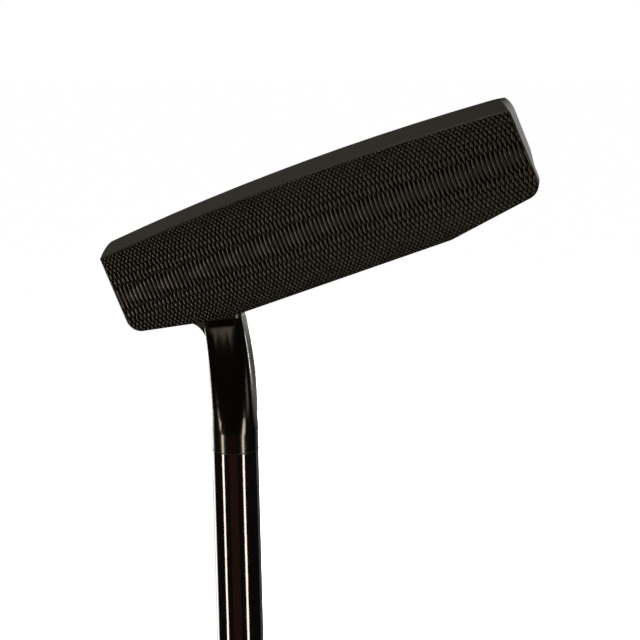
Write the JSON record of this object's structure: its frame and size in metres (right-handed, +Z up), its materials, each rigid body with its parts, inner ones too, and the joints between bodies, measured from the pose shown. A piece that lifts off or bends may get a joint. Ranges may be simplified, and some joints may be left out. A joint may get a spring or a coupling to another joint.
{
  "type": "blade putter",
  "caption": "Right-handed milled blade putter with a slant neck, cavity back, screw-in sole weights, over-spigot steel shaft and a flat-front grip.",
  "frame": {"origin": "centre of the grip's butt end, on the shaft's axis", "axes": "+Z up the shaft to the head, +X to the toe's side, the face looks to -Y"},
  "size_m": [0.1143, 0.0458, 0.8876],
  "materials": {
    "black_steel": "satin black on milled stainless steel",
    "sight_paint": "matt paint fill",
    "weight_steel": "turned, dark",
    "seal_rubber": "matt",
    "black_chrome": "gloss black chrome",
    "epoxy": "cured black epoxy",
    "grip_foam": "matt foam rubber",
    "grip_skin": "soft pebbled polyurethane",
    "tape": "crepe paper tape",
    "cap_rubber": "moulded rubber"
  },
  "bodies": {
    "club": {"head": "black_steel", "sight_line": "sight_paint", "shaft": "black_chrome", "shaft_bond": "epoxy", "grip_underlisting": "grip_foam", "grip_wrap": "grip_skin", "grip_tape": "tape", "grip_mouth_ring": "cap_rubber", "grip_end_cap": "cap_rubber"},
    "heel_seal": {"heel_weight_seal": "seal_rubber"},
    "heel_weight": {"heel_weight": "weight_steel"},
    "toe_seal": {"toe_weight_seal": "seal_rubber"},
    "toe_weight": {"toe_weight": "weight_steel"}
  },
  "joints": [
    {"name": "heel_weight_out", "type": "slide", "parent": "club", "child": "heel_seal", "axis": [-0.3973, 0.0474, 0.9165], "range_m": [0, 0.006]},
    {"name": "heel_weight_turn", "type": "hinge", "parent": "heel_seal", "child": "heel_weight", "pos_m": [-0.02271, 0.01717, 0.85578], "axis": [-0.3973, 0.0474, 0.9165], "range_deg": [0, 2160]},
    {"name": "toe_weight_out", "type": "slide", "parent": "club", "child": "toe_seal", "axis": [-0.2881, 0.0474, 0.9564], "range_m": [0, 0.006]},
    {"name": "toe_weight_turn", "type": "hinge", "parent": "toe_seal", "child": "toe_weight", "pos_m": [0.05423, 0.0172, 0.88393], "axis": [-0.2881, 0.0474, 0.9564], "range_deg": [0, 2160]}
  ],
  "couplings": [
    {"joint": "heel_weight_turn", "follows": "heel_weight_out", "rad_per_m": 6283.2},
    {"joint": "toe_weight_turn", "follows": "toe_weight_out", "rad_per_m": 6283.2}
  ]
}
